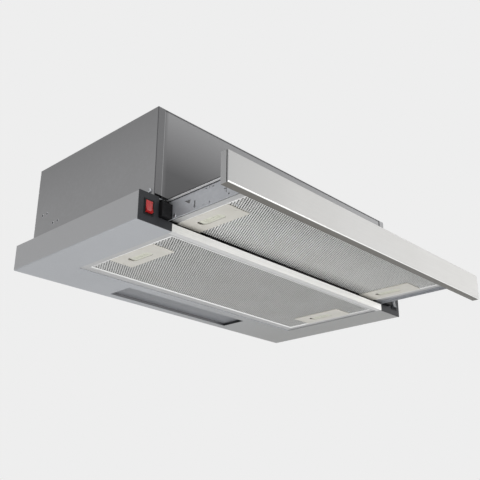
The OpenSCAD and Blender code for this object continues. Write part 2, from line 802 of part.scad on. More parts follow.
// One half of the blower housing, open towards the middle
module half_volute() {
  half = volute_w / 2;
  along_x(0, half - shell_t) difference() {
    scroll_2d(0, shell_t);
    scroll_2d(-10, 0);
  }
  along_x(half - shell_t, half) difference() {
    scroll_2d(0, shell_t);
    translate([shaft_y, shaft_z]) circle(r = inlet_r);
  }
  tube_x(inlet_r + 2.5, inlet_r, half - shell_t - 3, half, shaft_y, shaft_z);
  // rim that hangs from the top panel
  difference() {
    block([0, tongue_y - 10, under_top - 2.5], [half + 8, outlet_end + 10, under_top]);
    block([-1, tongue_y - 1, under_top - 4], [half - 1, outlet_end + 1, under_top + 1]);
  }
}

module left_volute() color("#8b8e92") placed() mirror([1, 0, 0]) half_volute();

module right_volute() color("#8b8e92") placed() half_volute();

// Forward-curved blades between the end rings
module blades_2d() for (k = [0 : blade_n - 1]) rotate(k * 360 / blade_n) intersection() {
  translate([impeller_r - 4, 3.4]) difference() {
    circle(r = 6.2, $fn = 32);
    circle(r = 5.3, $fn = 32);
  }
  translate([impeller_r - 8.5, -4]) square([8, 7.4]);
}

module impeller() color("#6e7276") placed() translate([0, shaft_y, shaft_z]) {
  difference() {
    union() {
      rod_x(impeller_r - 4, -1, 1, 0, 0);
      rod_x(10, -9, 9, 0, 0);
    }
    rod_x(shaft_r, -10, 10, 0, 0);
  }
  for (x = [-impeller_w / 2, impeller_w / 2 - 2]) tube_x(impeller_r, impeller_r - 8, x, x + 2, 0, 0);
  along_x(-impeller_w / 2 + 1, impeller_w / 2 - 1) blades_2d();
}

module rotor_shaft() color("#b8bbbf") placed() translate([0, shaft_y, shaft_z]) {
  rod_x(shaft_r, motor_x - motor_l - 6, 14, 0, 0);
  tube_x(21.5, shaft_r - 0.1, motor_x - motor_l + 13, motor_x - 14, 0, 0);
}

module motor_can() color("#a2a5a8") placed() translate([0, shaft_y, shaft_z]) difference() {
  rod_x(motor_r, motor_x - motor_l, motor_x, 0, 0);
  rod_x(motor_r - 2.5, motor_x - motor_l + 2.5, motor_x - 2.5, 0, 0);
  rod_x(9, motor_x - motor_l - 1, motor_x + 1, 0, 0);
}

module motor_stator() color("#7a4a2b") placed()
  tube_x(motor_r - 2.5, 22, motor_x - motor_l + 13, motor_x - 14, shaft_y, shaft_z);

module motor_bearings() color("#b08d57") placed() for (x = [motor_x - motor_l, motor_x - 6])
  tube_x(9, shaft_r + running, x, x + 6, shaft_y, shaft_z);

module motor_bracket() color("#9a9da0") placed() translate([0, shaft_y, shaft_z]) {
  face = -volute_w / 2;
  tube_x(inlet_r + 7, inlet_r + 1, face - 2, face, 0, 0);
  for (a = [90 : 120 : 330]) rotate([a, 0, 0]) {
    block([face - 2, motor_r - 8, -4], [face, inlet_r + 3, 4]);
    rod_x(3, motor_x, face - 1, motor_r - 5, 0);
  }
}

// ---------------------------------------------------------------- duct collar

module duct_collar() color("#2b2d30") placed() translate([0, collar_y, housing_top]) difference() {
  inner = collar_r - collar_wall;
  union() {
    difference() {
      union() {
        cylinder(r = collar_r, h = collar_h, $fn = 96);
        translate([-collar_r - 2.5, -collar_r - 2.5, 0]) cube([2 * collar_r + 5, 2 * collar_r + 5, base_t]);
        for (a = [45 : 90 : 315]) rotate(a) translate([collar_screw_r, 0, 0]) cylinder(r = 9, h = base_t);
      }
      translate([0, 0, -1]) cylinder(r = inner, h = collar_h + 2, $fn = 96);
    }
    // ledge that the closed flaps lie on
    translate([0, 0, flap_pin_h - knuckle_r - 2.2]) difference() {
      cylinder(r = inner + 0.1, h = 2, $fn = 96);
      translate([0, 0, -1]) cylinder(r = inner - 3, h = 4, $fn = 96);
    }
  }
  rod_x(flap_pin_r, -collar_r - 1, collar_r + 1, 0, flap_pin_h);
  for (a = [45 : 90 : 315]) rotate(a) translate([collar_screw_r, 0, -1]) cylinder(r = screw_hole_r, h = 5);
}

module flap_pin() color("#c9ccd0") placed()
  rod_x(flap_pin_r, -collar_r + 0.3, collar_r - 0.3, collar_y, flap_z);

// Half-round flap that covers y < 0, with knuckles at the given places along X
module flap(places) {
  width = 12;
  translate([0, 0, -knuckle_r]) linear_extrude(1.2) intersection() {
    circle(r = flap_r, $fn = 96);
    translate([-flap_r, -flap_r]) square([2 * flap_r, flap_r - knuckle_r - 0.6]);
  }
  for (x = places) difference() {
    union() {
      rod_x(knuckle_r, x, x + width, 0, 0);
      translate([x, -knuckle_r - 1.5, -knuckle_r]) cube([width, knuckle_r + 1.5, 1.2]);
    }
    rod_x(flap_pin_r + running, x - 1, x + width + 1, 0, 0);
  }
}

module front_flap() color("#3a3d42") placed() translate([0, collar_y, flap_z]) flap([-44, 6]);

module rear_flap() color("#3a3d42") placed() translate([0, collar_y, flap_z]) rotate(180) flap([-44, 6]);

// ---------------------------------------------------------------- electrics

module gland_place() translate([gland_x, gland_y, housing_top]) children();

module terminal_box() color("#d8d9d6") placed() difference() {
  half = [40, 27];
  wall = 2;
  floor_z = under_top - 35;
  block([gland_x - half[0], gland_y - half[1], floor_z], [gland_x + half[0], gland_y + half[1], under_top]);
  block([gland_x - half[0] + wall, gland_y - half[1] + wall, floor_z + wall],
        [gland_x + half[0] - wall, gland_y + half[1] - wall, under_top - wall]);
  gland_place() cylinder(r = gland_r + 0.2, h = 12, center = true);
}

module cable_gland() color("#1f2023") placed() gland_place() difference() {
  union() {
    cylinder(r = 12, h = 3);
    translate([0, 0, -6]) cylinder(r = gland_r, h = 7);
    translate([0, 0, 3]) cylinder(r1 = 10, r2 = 7.5, h = 8, $fn = 32);
  }
  translate([0, 0, -7]) cylinder(r = cable_r, h = 20);
}

module capacitor() color("#c8cacb") placed() {
  can = [14, 55];
  x0 = gland_x - 45;
  z = under_top - 17;
  rod_x(can[0], x0, x0 + can[1], collar_y + 5, z);
  block([x0 + 10, collar_y - 1, z + 10], [x0 + can[1] - 10, collar_y + 11, under_top]);
}

module microswitch() color("#26282c") placed() mirror([1, 0, 0]) difference() {
  y0 = side_rear + travel + 4;
  union() {
    block([plunger_x - 3.1, y0, plunger_z - 6], [plunger_x + 2.7, y0 + 16, plunger_z + 5]);
    block([plunger_x - 4.1, y0 + 4, sheet], [plunger_x + 2.7, y0 + 16, plunger_z - 5.5]);
  }
  translate([plunger_x, y0 - 6, plunger_z]) rotate([-90, 0, 0]) cylinder(r = plunger_r + running, h = 13);
}

module microswitch_plunger() color("#c0392b") placed() mirror([1, 0, 0])
  translate([plunger_x, side_rear + travel + switch_tip_gap, plunger_z]) rotate([-90, 0, 0])
    cylinder(r = plunger_r, h = 7);

canopy();
left_side_panel();
right_side_panel();
front_panel();
rear_panel();
top_panel();
front_rail();
left_end_cap();
right_end_cap();
switch_bodies();
light_rocker();
fan_rocker();
left_slide_channel();
right_slide_channel();
slide_guides();
left_guide_roller();
right_guide_roller();
left_drawer_roller();
right_drawer_roller();
fascia();
drawer_front();
left_drawer_side();
right_drawer_side();
drawer_rear_bar();
rear_filter_frame();
rear_filter_mesh();
rear_filter_core();
rear_filter_handles();
front_filter_frame();
front_filter_mesh();
front_filter_core();
front_filter_handles();
rear_left_latch();
rear_right_latch();
front_left_latch();
front_right_latch();
lamp_housing();
lamp_lens();
lamp_holders();
lamp_bulbs();
left_volute();
right_volute();
impeller();
rotor_shaft();
motor_can();
motor_stator();
motor_bearings();
motor_bracket();
duct_collar();
flap_pin();
front_flap();
rear_flap();
terminal_box();
capacitor();
cable_gland();
microswitch();
microswitch_plunger();
housing_screws();
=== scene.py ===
"""A pull-out range hood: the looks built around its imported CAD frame, in metres."""

import json
import math

import bmesh
import bpy
from mathutils import Matrix, Vector


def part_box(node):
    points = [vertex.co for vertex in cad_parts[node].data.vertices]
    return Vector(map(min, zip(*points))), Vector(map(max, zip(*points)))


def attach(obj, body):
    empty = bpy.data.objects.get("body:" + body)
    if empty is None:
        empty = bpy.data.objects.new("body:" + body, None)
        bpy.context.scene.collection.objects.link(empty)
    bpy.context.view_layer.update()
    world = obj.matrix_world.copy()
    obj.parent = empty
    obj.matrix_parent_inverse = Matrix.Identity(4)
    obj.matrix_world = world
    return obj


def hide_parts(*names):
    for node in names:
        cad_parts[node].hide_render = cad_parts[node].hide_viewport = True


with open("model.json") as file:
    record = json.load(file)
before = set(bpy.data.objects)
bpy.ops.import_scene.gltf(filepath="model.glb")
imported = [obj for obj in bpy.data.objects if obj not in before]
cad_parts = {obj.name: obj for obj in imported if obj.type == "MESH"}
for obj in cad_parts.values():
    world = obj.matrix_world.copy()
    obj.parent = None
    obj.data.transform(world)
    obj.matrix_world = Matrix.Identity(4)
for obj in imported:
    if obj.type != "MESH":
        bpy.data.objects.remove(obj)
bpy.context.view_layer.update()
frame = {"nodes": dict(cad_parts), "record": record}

MM = 0.001


def srgb(red, green, blue):
    """A colour as seen on a screen, 0 to 255, as the linear values that shaders take."""
    def linear(value):
        value /= 255
        return value / 12.92 if value <= 0.04045 else ((value + 0.055) / 1.055) ** 2.4
    return linear(red), linear(green), linear(blue), 1.0


# ------------------------------------------------------------------ camera, lamps, surroundings

CAMERA_AT = Vector((-0.82574, -0.74196, -0.36678))
CAMERA_YAW = math.radians(46.512)
CAMERA_PITCH = math.radians(21.842)
CAMERA_ROLL = math.radians(0.374)
CAMERA_LENS = 55.55
SENSOR_WIDTH = 36
BACKGROUND = srgb(238, 238, 238)
SOFT_LIGHT = srgb(250, 251, 253)
AMBIENT = 0.62
FLOOR_Z = -1.3
FLOOR_HALF = 6.0
# Each lamp's name, place, target, width, height and power in watts
LAMPS = [
    ("front", (0.1, -2.4, -0.55), (0, 0, 0.02), 2.0, 1.0, 27),
    ("from below", (-0.9, -0.3, -1.0), (-0.2, 0, 0), 1.4, 1.4, 5.2),
    ("high right", (2.6, -1.0, 1.2), (0, 0, 0.1), 1.2, 1.2, 5),
    ("behind", (1.0, 2.4, 1.6), (0, 0, 0.1), 1.8, 1.4, 40),
]


def make_camera():
    """The photograph's viewpoint: from the left, in front and below, looking up."""
    forward = Vector((
        math.sin(CAMERA_YAW) * math.cos(CAMERA_PITCH),
        math.cos(CAMERA_YAW) * math.cos(CAMERA_PITCH),
        math.sin(CAMERA_PITCH),
    ))
    level = Vector((math.cos(CAMERA_YAW), -math.sin(CAMERA_YAW), 0))
    upright = level.cross(forward)
    right = math.cos(CAMERA_ROLL) * level + math.sin(CAMERA_ROLL) * upright
    up = math.cos(CAMERA_ROLL) * upright - math.sin(CAMERA_ROLL) * level
    data = bpy.data.cameras.new("camera")
    data.lens = CAMERA_LENS
    data.sensor_width = SENSOR_WIDTH
    data.clip_start = 0.01
    camera = bpy.data.objects.new("camera", data)
    turn = Matrix((right, up, -forward)).transposed().to_4x4()
    camera.matrix_world = Matrix.Translation(CAMERA_AT) @ turn
    bpy.context.scene.collection.objects.link(camera)
    bpy.context.scene.camera = camera


def make_world():
    """Soft light from all round, and the pale background that the camera, gloss and glass see."""
    world = bpy.data.worlds.new("studio")
    bpy.context.scene.world = world
    world.use_nodes = True
    nodes, links = world.node_tree.nodes, world.node_tree.links
    soft = nodes["Background"]
    soft.inputs["Color"].default_value = SOFT_LIGHT
    soft.inputs["Strength"].default_value = AMBIENT
    pale = nodes.new("ShaderNodeBackground")
    pale.inputs["Color"].default_value = BACKGROUND
    rays = nodes.new("ShaderNodeLightPath")
    seen = rays.outputs["Is Camera Ray"]
    for name in ("Is Glossy Ray", "Is Transmission Ray"):
        either = nodes.new("ShaderNodeMath")
        either.operation = "MAXIMUM"
        links.new(seen, either.inputs[0])
        links.new(rays.outputs[name], either.inputs[1])
        seen = either.outputs[0]
    mix = nodes.new("ShaderNodeMixShader")
    links.new(seen, mix.inputs["Fac"])
    links.new(soft.outputs[0], mix.inputs[1])
    links.new(pale.outputs[0], mix.inputs[2])
    links.new(mix.outputs[0], nodes["World Output"].inputs["Surface"])


def area_lamp(name, place, target, width, height, power):
    """A soft box at place that points at target."""
    data = bpy.data.lights.new(name, "AREA")
    data.shape = "RECTANGLE"
    data.size, data.size_y = width, height
    data.energy = power
    lamp = bpy.data.objects.new(name, data)
    towards = Vector(target) - Vector(place)
    turn = towards.to_track_quat("-Z", "Y").to_matrix().to_4x4()
    lamp.matrix_world = Matrix.Translation(place) @ turn
    bpy.context.scene.collection.objects.link(lamp)


def make_floor():
    """A plain pale floor, so far below the hood that a camera right under it sees the hood."""
    data = bpy.data.meshes.new("floor")
    corners = [(x * FLOOR_HALF, y * FLOOR_HALF, FLOOR_Z)
               for x, y in ((-1, -1), (1, -1), (1, 1), (-1, 1))]
    data.from_pydata(corners, [], [(0, 1, 2, 3)])
    floor = bpy.data.objects.new("floor", data)
    bpy.context.scene.collection.objects.link(floor)
    finish = Finish("floor_paint", srgb(232, 232, 232), roughness=0.9)
    floor.data.materials.append(finish.material)


# ------------------------------------------------------------------ materials

# How far a normal leans towards an axis where a face starts to count as facing it and fully does
FACING = (0.9, 0.98)

# The lamp's window: its middle along Y, and the half sizes and heights of its returned edge,
# which gets painted shade
WINDOW_Y = (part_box("lamp_lens")[0].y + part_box("lamp_lens")[1].y) / 2
WINDOW_HALF_X, WINDOW_HALF_Y = 133.2 * MM, 25.4 * MM
WINDOW_Z = (0.15 * MM, 5.2 * MM)
# How far from the window's right end the painted shade on its edge starts and is full, and where
# along X the painted shade on the canopy's underside starts and is full
WINDOW_SHADE = (25 * MM, 1 * MM)
CANOPY_SHADE_X = (-120 * MM, 260 * MM)

# The housing: its outer faces, the width of the painted shade line along a bend, and the edge of
# the side's flange, where the front gets a painted highlight
HOUSING_SIDE, HOUSING_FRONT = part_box("top_panel")[1].x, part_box("top_panel")[0].y
BEND_SHADE = 0.9 * MM
FLANGE_HIGHLIGHT = (HOUSING_SIDE - 13.6 * MM, HOUSING_SIDE - 12.1 * MM)
# Heights between which painted light and shade change the housing's tone: all of it, its left
# side and its front
HOUSING_LOW_Z = (95 * MM, 30 * MM)
HOUSING_SIDE_Z = (95 * MM, 200 * MM)
HOUSING_FRONT_Z = (85 * MM, 182 * MM)
# How far from its left side the painted shade on the corner of its front starts, and where it is
# full
CORNER_SHADE = (20 * MM, 13 * MM)

# The drawer's sides: the top of their lip, and the place of their outer face
LIP_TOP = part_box("left_drawer_side")[1].z
SLIDE_FACE = 249.2 * MM
# Painted highlight on the lip's underside, painted shade on its edge and at its root: X from the
# face and Z from the top, in mm
LIP_LIGHT_AND_SHADE = [
    ((0.2, 5.0), (-1.7, -1.35), srgb(250, 250, 250)),
    ((4.2, 5.0), (-1.35, -0.02), srgb(36, 36, 38)),
    ((-0.2, 0.15), (-3.1, -1.6), srgb(52, 52, 54)),
]

# The fascia and the rail: the seam of a folded end, darkened by painted shade, and where painted
# shade darkens them towards the left
END_SEAM = (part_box("fascia")[0].y + 1.5 * MM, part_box("fascia")[0].y + 3.1 * MM)
FASCIA_SHADE_X = (-170 * MM, -330 * MM)
RAIL_SHADE_X = (-150 * MM, -290 * MM)

# The filters: where painted light makes their pads paler, and where a latch's grip ends in height,
# with the slide and bolt within so much above it, which get painted shade
PAINTED_LIGHT_X = (-150 * MM, 250 * MM)
LATCH_GRIP = {name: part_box(name + "_left_latch")[0].z + 1.5 * MM for name in ("rear", "front")}
BOLT_REACH = 10 * MM
# The front filter's heights, and where a painted shadow blackens its pad, and its frame and hem,
# along Y
FRONT_FILTER_Z = (15 * MM, 30 * MM)
PAD_SHADOW_Y = (-93 * MM, -77 * MM)
FRAME_SHADOW_Y = (-66 * MM, -62 * MM)


class Finish:
    """A Principled material, with short methods for the patterns that its looks are made of."""

    def __init__(self, name, colour, metallic=0.0, roughness=0.5, **sockets):
        self.material = bpy.data.materials.new(name)
        self.material.use_nodes = True
        self.nodes = self.material.node_tree.nodes
        self.links = self.material.node_tree.links
        self.shader = self.nodes["Principled BSDF"]
        self.colour = colour
        self.shader.inputs["Base Color"].default_value = colour
        self.shader.inputs["Metallic"].default_value = metallic
        self.shader.inputs["Roughness"].default_value = roughness
        for socket, value in sockets.items():
            self.shader.inputs[socket.replace("_", " ")].default_value = value
        self.place = self.nodes.new("ShaderNodeTexCoord").outputs["Object"]

    def stretched(self, stretch):
        """Object coordinates, scaled along each axis."""
        mapping = self.nodes.new("ShaderNodeMapping")
        mapping.inputs["Scale"].default_value = stretch
        self.links.new(self.place, mapping.inputs["Vector"])
        return mapping.outputs[0]

    def noise(self, size, stretch=(1, 1, 1), detail=3.0):
        """Soft noise whose features are about size metres across."""
        noise = self.nodes.new("ShaderNodeTexNoise")
        noise.inputs["Scale"].default_value = 1 / size
        noise.inputs["Detail"].default_value = detail
        noise.inputs["Roughness"].default_value = 0.55
        self.links.new(self.stretched(stretch), noise.inputs["Vector"])
        return noise.outputs[0]

    def cells(self, size, stretch=(1, 1, 1)):
        """Flat cells about size metres across, each with its own value."""
        voronoi = self.nodes.new("ShaderNodeTexVoronoi")
        voronoi.inputs["Scale"].default_value = 1 / size
        self.links.new(self.stretched(stretch), voronoi.inputs["Vector"])
        split = self.nodes.new("ShaderNodeSeparateColor")
        self.links.new(voronoi.outputs["Color"], split.inputs[0])
        return split.outputs[0]

    def ramp(self, value, low, high):
        """Spreads the part of a pattern between low and high over 0 to 1."""
        remap = self.nodes.new("ShaderNodeMapRange")
        remap.inputs["From Min"].default_value = low
        remap.inputs["From Max"].default_value = high
        self.links.new(value, remap.inputs["Value"])
        return remap.outputs["Result"]

    def tint(self, pattern, other):
        """Mixes the colour so far towards another one by a pattern."""
        mix = self.nodes.new("ShaderNodeMix")
        mix.data_type = "RGBA"
        self.links.new(pattern, mix.inputs[0])
        socket = self.shader.inputs["Base Color"]
        if socket.is_linked:
            self.links.new(socket.links[0].from_socket, mix.inputs[6])
        else:
            mix.inputs[6].default_value = self.colour
        mix.inputs[7].default_value = other
        self.links.new(mix.outputs[2], socket)
        return self

    def along(self, output, axis):
        """One axis of the object-space place (Object) or direction (Normal)."""
        split = self.nodes.new("ShaderNodeSeparateXYZ")
        self.links.new(self.place.node.outputs[output], split.inputs[0])
        return split.outputs[axis]

    def fade(self, axis, start, end):
        """0 before one place in metres along an axis and 1 beyond another, in either order."""
        return self.ramp(self.along("Object", axis), start, end)

    def facing(self, axis, way):
        """1 where the surface faces along an axis, way being 1 or -1, and 0 elsewhere."""
        return self.ramp(self.along("Normal", axis), *(way * lean for lean in FACING))

    def band(self, axis, low, high, mirrored=False):
        """1 between two places in metres along an axis, on both sides of its middle if mirrored."""
        value = self.along("Object", axis)
        if mirrored:
            value = self.calculate("ABSOLUTE", value)
        return self.calculate("COMPARE", value, (low + high) / 2, (high - low) / 2)

    def both(self, *patterns):
        """Where all of the patterns are 1."""
        product = patterns[0]
        for other in patterns[1:]:
            product = self.calculate("MULTIPLY", product, other)
        return product

    def calculate(self, operation, *values):
        """A Math node's result. Floats are set on its sockets and other values are linked."""
        node = self.nodes.new("ShaderNodeMath")
        node.operation = operation
        for socket, value in zip(node.inputs, values):
            if isinstance(value, float):
                socket.default_value = value
            else:
                self.links.new(value, socket)
        return node.outputs[0]

    def sheen_varies(self, pattern, low, high):
        """Lets the roughness run from low to high with a noise, most of which is 0.3 to 0.7."""
        remap = self.nodes.new("ShaderNodeMapRange")
        remap.inputs["From Min"].default_value = 0.3
        remap.inputs["From Max"].default_value = 0.7
        remap.inputs["To Min"].default_value = low
        remap.inputs["To Max"].default_value = high
        self.links.new(pattern, remap.inputs["Value"])
        self.links.new(remap.outputs["Result"], self.shader.inputs["Roughness"])
        return self

    def relief(self, pattern, depth, strength=1.0):
        """Adds a bump of the given depth in metres on top of those before it."""
        bump = self.nodes.new("ShaderNodeBump")
        bump.inputs["Distance"].default_value = depth
        bump.inputs["Strength"].default_value = strength
        self.links.new(pattern, bump.inputs["Height"])
        socket = self.shader.inputs["Normal"]
        if socket.is_linked:
            self.links.new(socket.links[0].from_socket, bump.inputs["Normal"])
        self.links.new(bump.outputs[0], socket)
        return self


def powder_coat():
    """Grey powder coat with a fine orange peel. Painted shade darkens its faces towards -X, its
    underside towards the right and the window's returned edge, most at that edge's right end.
    """
    finish = Finish("canopy_paint", srgb(172, 174, 177), metallic=0.1, roughness=0.42)
    peel = finish.noise(1.6 * MM, detail=2)
    finish.tint(finish.ramp(finish.noise(90 * MM), 0.35, 0.7), srgb(168, 170, 173))
    finish.tint(finish.ramp(finish.noise(0.7 * MM, detail=1), 0.6, 0.8), srgb(180, 182, 185))
    # Painted shade: the faces towards -X are darker
    finish.tint(finish.facing("X", -1), srgb(166, 166, 167))
    # Painted shade: the underside grows darker and a little warmer towards the right
    underside_shade = finish.both(finish.facing("Z", -1), finish.fade("X", *CANOPY_SHADE_X))
    finish.tint(underside_shade, srgb(154, 154, 152))
    # Painted shade on the window's recessed returned edge
    window_edge_shade = finish.both(
        finish.band("X", -WINDOW_HALF_X, WINDOW_HALF_X),
        finish.band("Y", WINDOW_Y - WINDOW_HALF_Y, WINDOW_Y + WINDOW_HALF_Y),
        finish.band("Z", *WINDOW_Z),
    )
    finish.tint(window_edge_shade, srgb(108, 108, 110))
    # Painted shade, darkest at the right end of the window's edge
    end = finish.fade("X", *(WINDOW_HALF_X - inset for inset in WINDOW_SHADE))
    finish.tint(finish.both(window_edge_shade, end), srgb(44, 44, 46))
    return finish.sheen_varies(peel, 0.36, 0.5).relief(peel, 0.05 * MM, 0.35)


def rolled_steel(name, colour, shade, spangle, grain=(1, 1, 0.03), metallic=0.8):
    """Galvanised sheet: soft clouds, a faint spangle and fine rolling lines along one axis."""
    finish = Finish(name, colour, metallic=metallic, roughness=0.38)
    lines = finish.noise(1.2 * MM, stretch=grain, detail=2)
    finish.tint(finish.ramp(finish.noise(240 * MM, detail=1), 0.35, 0.65), shade)
    finish.tint(finish.ramp(finish.cells(5 * MM), 0.3, 2.5), spangle)
    return finish.relief(lines, 0.02 * MM, 0.25)


def housing_steel():
    """The housing's sheet with painted light and shade: lighter low down, darker high on its left
    side, darker on its front but lighter high up there, a darker left corner and a painted highlight
    by each flange on the front, and painted shade lines along its bends.
    """
    finish = rolled_steel("housing_steel", srgb(142, 142, 143), srgb(137, 137, 138),
                          srgb(148, 148, 150))
    left, front = finish.facing("X", -1), finish.facing("Y", -1)
    # Painted light: lighter towards the bottom
    finish.tint(finish.fade("Z", *HOUSING_LOW_Z), srgb(150, 150, 151))
    # Painted shade: the left side darker towards the top
    finish.tint(finish.both(finish.fade("Z", *HOUSING_SIDE_Z), left), srgb(122, 122, 123))
    # Painted shade on the front, painted light high on it, and painted shade on its left corner
    finish.tint(front, srgb(96, 96, 97))
    finish.tint(finish.both(front, finish.fade("Z", *HOUSING_FRONT_Z)), srgb(155, 155, 156))
    corner = finish.fade("X", *(reach - HOUSING_SIDE for reach in CORNER_SHADE))
    finish.tint(finish.both(front, corner), srgb(116, 116, 117))
    # Painted highlight on the front by the edge of each side's flange
    flange = finish.band("X", *FLANGE_HIGHLIGHT, mirrored=True)
    finish.tint(finish.both(front, flange), srgb(156, 156, 157))
    # Painted shade: dark lines along the bends at the front corners
    side_bend_shade = finish.band("Y", HOUSING_FRONT, HOUSING_FRONT + BEND_SHADE)
    finish.tint(finish.both(side_bend_shade, left), srgb(88, 88, 90))
    front_bend_shade = finish.band("X", HOUSING_SIDE - BEND_SHADE, HOUSING_SIDE, mirrored=True)
    return finish.tint(finish.both(front, front_bend_shade), srgb(84, 84, 86))


def slide_steel():
    """The slides' brighter sheet. The drawer sides' top lip gets a painted highlight on its
    underside and painted shade on its edge and at its root.
    """
    finish = rolled_steel("galvanised_steel", srgb(176, 178, 182), srgb(165, 167, 171),
                          srgb(190, 192, 195), grain=(0.03, 1, 1), metallic=0.45)
    # Painted highlight and painted shade on and under the lip
    for x, z, colour in LIP_LIGHT_AND_SHADE:
        height = finish.band("Z", *(LIP_TOP + place * MM for place in z))
        reach = finish.band("X", *(SLIDE_FACE + place * MM for place in x), mirrored=True)
        finish.tint(finish.both(height, reach), colour)
    return finish


def brushed_fascia():
    """Fine brushing along the length, with painted shade towards the left, on the underside and on
    the ends, darkest in the end seams, and a painted highlight on the rounded lower edge.
    """
    finish = Finish("fascia_steel", srgb(202, 201, 199), metallic=0.5, roughness=0.36,
                    Anisotropic=0.45)
    lines = finish.noise(0.4 * MM, stretch=(0.004, 1, 1), detail=2)
    finish.tint(finish.ramp(lines, 0.35, 0.7), srgb(198, 197, 195))
    finish.tint(finish.ramp(finish.noise(170 * MM), 0.35, 0.75), srgb(194, 193, 190))
    # Painted shade towards the left
    finish.tint(finish.fade("X", *FASCIA_SHADE_X), srgb(182, 182, 181))
    # Painted highlight on the rounded edge between the front and the underside
    rounding = finish.ramp(finish.along("Normal", "Z"), -0.15, -0.4)
    finish.tint(rounding, srgb(246, 246, 244))
    # Painted shade on the underside
    finish.tint(finish.facing("Z", -1), srgb(112, 109, 103))
    # Painted shade on the ends, darkest in their seams
    ends = finish.ramp(finish.calculate("ABSOLUTE", finish.along("Normal", "X")), *FACING)
    finish.tint(ends, srgb(163, 163, 163))
    finish.tint(finish.both(ends, finish.band("Y", *END_SEAM)), srgb(34, 34, 35))
    return finish.sheen_varies(lines, 0.32, 0.4).relief(lines, 0.008 * MM, 0.25)


def anodised_rail():
    """Pale aluminium with drawing lines along its length, and painted shade towards the left and on
    its underside.
    """
    finish = Finish("rail_aluminium", srgb(247, 246, 243), metallic=0.1, roughness=0.3)
    lines = finish.noise(0.6 * MM, stretch=(0.006, 1, 1), detail=2)
    finish.tint(finish.ramp(lines, 0.4, 0.75), srgb(234, 233, 230))
    # Painted shade towards the left and on the underside
    finish.tint(finish.fade("X", *RAIL_SHADE_X), srgb(194, 195, 192))
    finish.tint(finish.facing("Z", -1), srgb(205, 205, 203))
    return finish.relief(lines, 0.012 * MM, 0.3)


def grained_plastic(name, colour, light, roughness=(0.42, 0.56), **sockets):
    """Moulded plastic with a fine spark-eroded grain and slightly uneven tone."""
    finish = Finish(name, colour, roughness=roughness[0], **sockets)
    fine = finish.noise(0.7 * MM, detail=2)
    finish.tint(finish.ramp(finish.noise(25 * MM), 0.35, 0.75), light)
    return finish.sheen_varies(fine, *roughness).relief(fine, 0.05 * MM, 0.4)


def latch(name, grip_top):
    """A pale grip in the handle's well, on a slide and bolt that painted shade darkens in the
    filter.
    """
    finish = grained_plastic(name, srgb(210, 210, 196), srgb(202, 202, 187), roughness=(0.3, 0.42))
    # Painted shade on the slide and bolt inside the filter
    bolt_shade = finish.band("Z", grip_top, grip_top + BOLT_REACH)
    finish.tint(bolt_shade, srgb(58, 58, 58))
    # Painted light: the bolt paler towards the right
    return finish.tint(finish.both(bolt_shade, finish.fade("X", *PAINTED_LIGHT_X)), srgb(192, 192, 190))


def red_rocker():
    """Glossy red plastic that lets a little light in."""
    finish = Finish("red_plastic", srgb(168, 32, 34), roughness=0.22,
                    Coat_Weight=0.3, Coat_Roughness=0.08,
                    Subsurface_Weight=0.15, Subsurface_Scale=1.5 * MM)
    finish.tint(finish.ramp(finish.noise(4 * MM), 0.4, 0.8), srgb(182, 46, 45))
    return finish.relief(finish.noise(3 * MM), 0.03 * MM, 0.3)


def filter_metal(name, colour, shade):
    """Rolled aluminium of a filter's face sheet."""
    finish = Finish(name, colour, metallic=0.35, roughness=0.34)
    finish.tint(finish.ramp(finish.noise(60 * MM), 0.35, 0.7), shade)
    fine = finish.noise(1.0 * MM, stretch=(0.1, 1, 1))
    return finish.sheen_varies(fine, 0.28, 0.42).relief(fine, 0.02 * MM, 0.4)


def shadow_by_rail(finish, start, end):
    """Paints a black shadow on the rear edge of the front filter, where it runs in under the rail,
    from one place along Y to another.
    """
    rear = finish.both(finish.fade("Y", start, end), finish.band("Z", *FRONT_FILTER_Z))
    return finish.tint(rear, srgb(8, 8, 8))


def mesh_pad(name, colour, strand):
    """A filter's inner layers of expanded mesh, paler towards the right as painted light, with a
    painted shadow blackening the front filter's rear edge.
    """
    finish = Finish(name, colour, metallic=0.5, roughness=0.45)
    strands = finish.ramp(finish.cells(1.6 * MM, stretch=(1, 0.6, 1)), 0.55, 0.85)
    finish.tint(strands, strand)
    # Painted light: paler towards the right
    finish.tint(finish.fade("X", *PAINTED_LIGHT_X), srgb(192, 192, 190))
    # Painted shadow of the rail on the front filter's rear edge
    shadow_by_rail(finish, *PAD_SHADOW_Y)
    return finish.relief(strands, 0.5 * MM, 0.8)


def filter_border():
    """The aluminium of the filters' frames, with a painted shadow blackening the front filter's rear
    edge.
    """
    finish = Finish("filter_frame", srgb(188, 188, 187), metallic=0.3, roughness=0.36)
    finish.tint(finish.ramp(finish.noise(50 * MM), 0.35, 0.7), srgb(181, 181, 180))
    # Painted shadow of the rail on the front filter's rear edge
    shadow_by_rail(finish, *FRAME_SHADOW_Y)
    fine = finish.noise(1.2 * MM, stretch=(0.1, 1, 1))
    return finish.sheen_varies(fine, 0.3, 0.42).relief(fine, 0.02 * MM, 0.3)


def rolled_hem():
    """The rolled edge round a filter's slits, its near white colour a painted highlight, and
    blackened by a painted shadow at the front filter's rear edge.
    """
    # Near white: a painted highlight on the rolled edge
    finish = Finish("filter_hem", srgb(248, 248, 246), metallic=0.1, roughness=0.26)
    fine = finish.noise(1.4 * MM, stretch=(0.2, 0.2, 1))
    finish.tint(finish.ramp(fine, 0.4, 0.7), srgb(240, 240, 238))
    # Painted shadow of the rail on the front filter's rear edge
    return shadow_by_rail(finish, *FRAME_SHADOW_Y).relief(fine, 0.02 * MM, 0.3)


